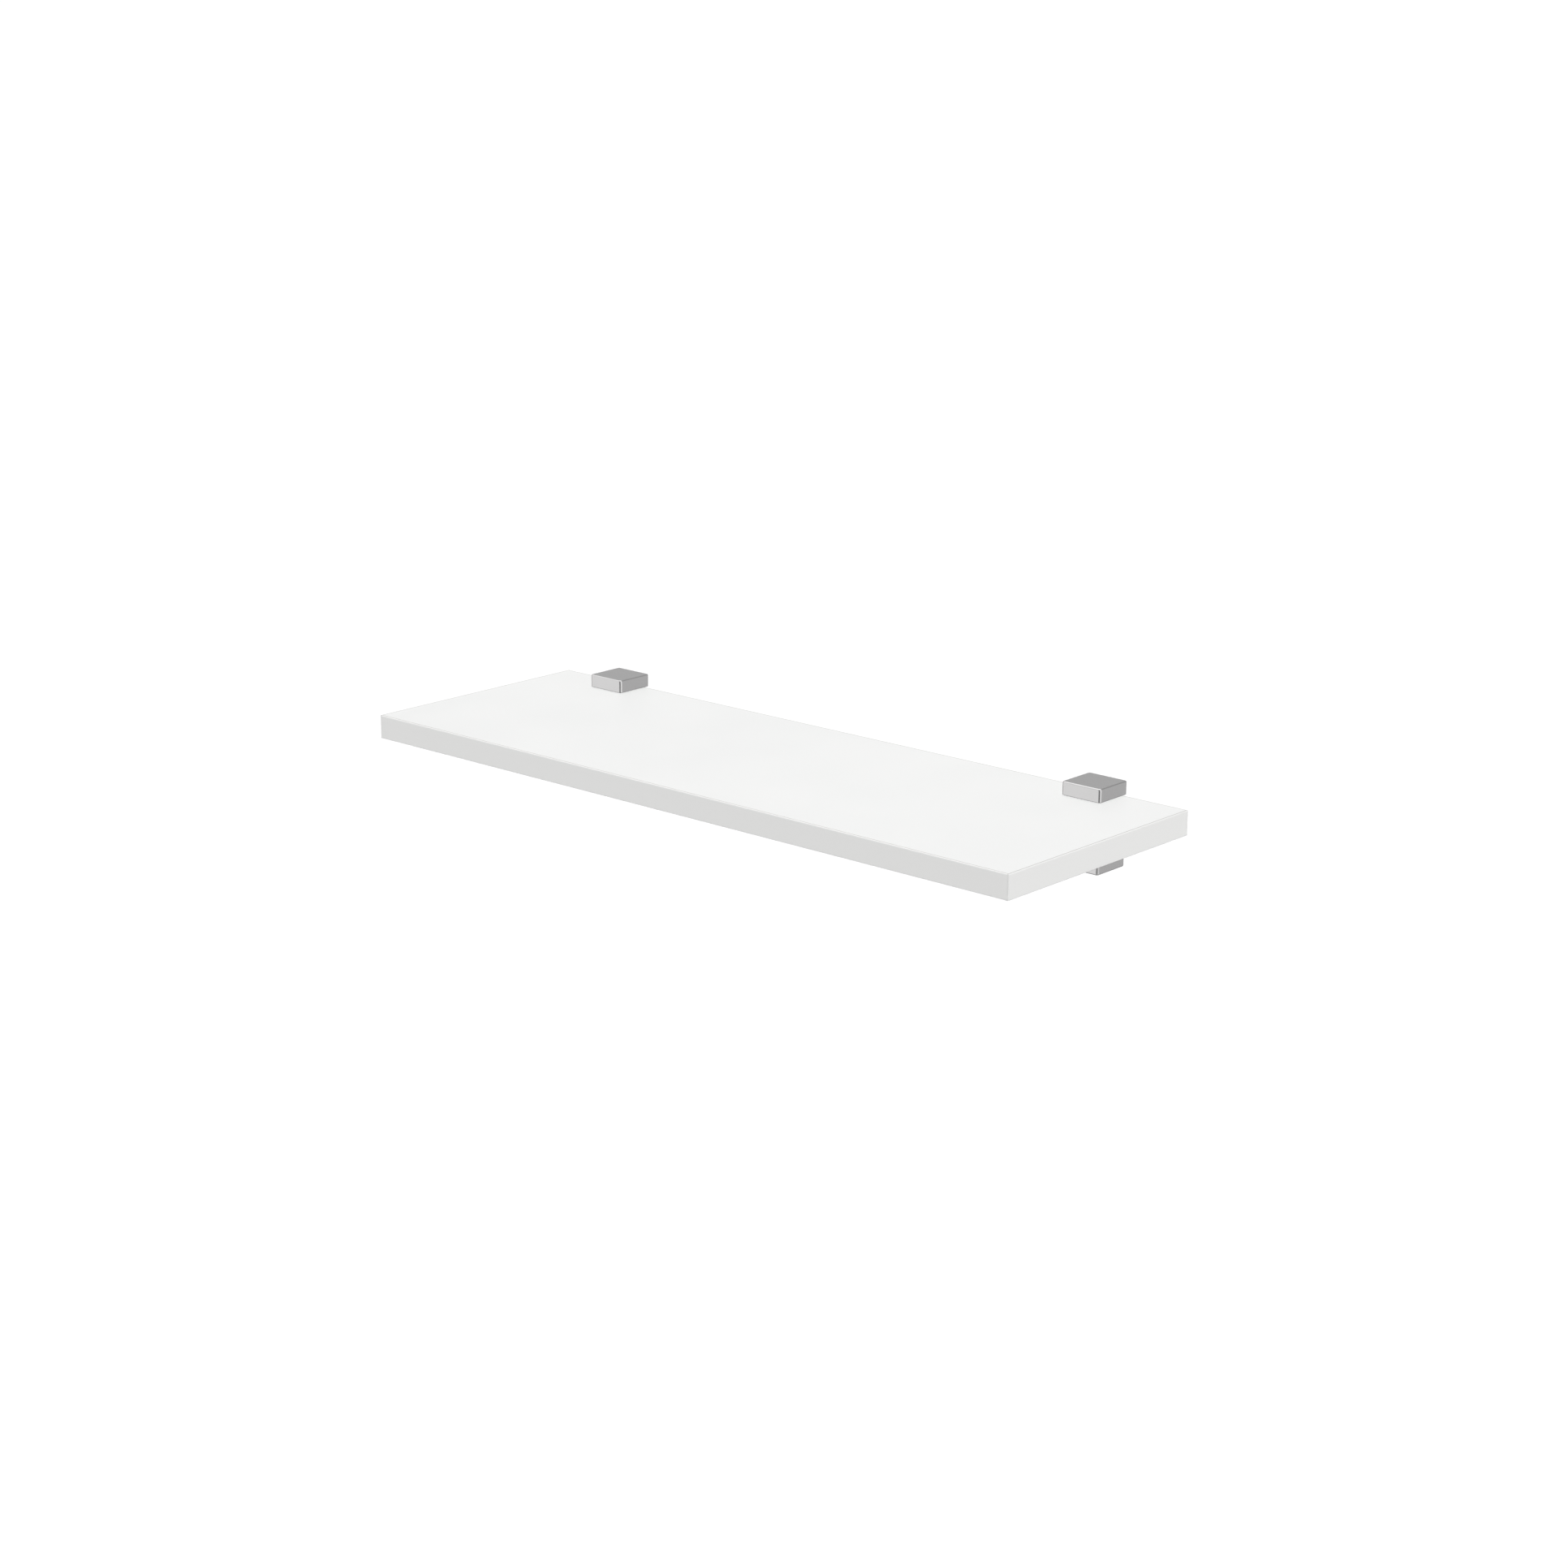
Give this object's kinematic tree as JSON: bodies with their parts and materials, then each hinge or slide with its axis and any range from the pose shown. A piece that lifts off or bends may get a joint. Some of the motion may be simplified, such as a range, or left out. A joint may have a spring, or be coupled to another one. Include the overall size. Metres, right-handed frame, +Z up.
{
  "type": "wall shelf",
  "caption": "White faced-board wall shelf held along its back edge by adjustable satin metal clamp brackets with screw-driven lower jaws.",
  "frame": {"origin": "middle of the four wall fixing holes, on the wall plane", "axes": "+X along the shelf, to the right as seen from the room; +Y into the wall; +Z up"},
  "size_m": [0.6, 0.2035, 0.0621],
  "materials": {
    "white_melamine": "satin white melamine facing with a fine pore texture",
    "white_edge_band": "smooth satin white edge band",
    "chipboard": "raw pressed wood chips",
    "satin_nickel": "fine satin nickel plating on a zinc casting",
    "pad_rubber": "soft grey rubber",
    "plated_steel": "bright zinc plating",
    "spring_steel": "dark phosphated spring steel"
  },
  "bodies": {
    "shelf": {"board_core": "chipboard", "top_face_laminate": "white_melamine", "bottom_face_laminate": "white_melamine", "front_edge_band": "white_edge_band", "back_edge_band": "white_edge_band", "left_edge_band": "white_edge_band", "right_edge_band": "white_edge_band", "left_bracket_body": "satin_nickel", "left_upper_pad": "pad_rubber", "right_bracket_body": "satin_nickel", "right_upper_pad": "pad_rubber"},
    "left_jaw": {"left_lower_jaw": "satin_nickel", "left_lower_pad": "pad_rubber", "left_screw_washer": "plated_steel"},
    "left_screw": {"left_clamp_screw": "plated_steel", "left_screw_retaining_ring": "spring_steel"},
    "right_jaw": {"right_lower_jaw": "satin_nickel", "right_lower_pad": "pad_rubber", "right_screw_washer": "plated_steel"},
    "right_screw": {"right_clamp_screw": "plated_steel", "right_screw_retaining_ring": "spring_steel"}
  },
  "joints": [
    {"name": "left_jaw_slide", "type": "slide", "parent": "shelf", "child": "left_jaw", "axis": [0, 0, -1], "range_m": [0, 0.01]},
    {"name": "left_screw_turn", "type": "hinge", "parent": "left_jaw", "child": "left_screw", "pos_m": [-0.23, -0.016, -0.03045], "axis": [0, 0, -1], "range_deg": [0, 3600]},
    {"name": "right_jaw_slide", "type": "slide", "parent": "shelf", "child": "right_jaw", "axis": [0, 0, -1], "range_m": [0, 0.01]},
    {"name": "right_screw_turn", "type": "hinge", "parent": "right_jaw", "child": "right_screw", "pos_m": [0.23, -0.016, -0.03045], "axis": [0, 0, -1], "range_deg": [0, 3600]}
  ],
  "couplings": [
    {"joint": "left_screw_turn", "follows": "left_jaw_slide", "rad_per_m": 6283.2},
    {"joint": "right_screw_turn", "follows": "right_jaw_slide", "rad_per_m": 6283.2}
  ]
}
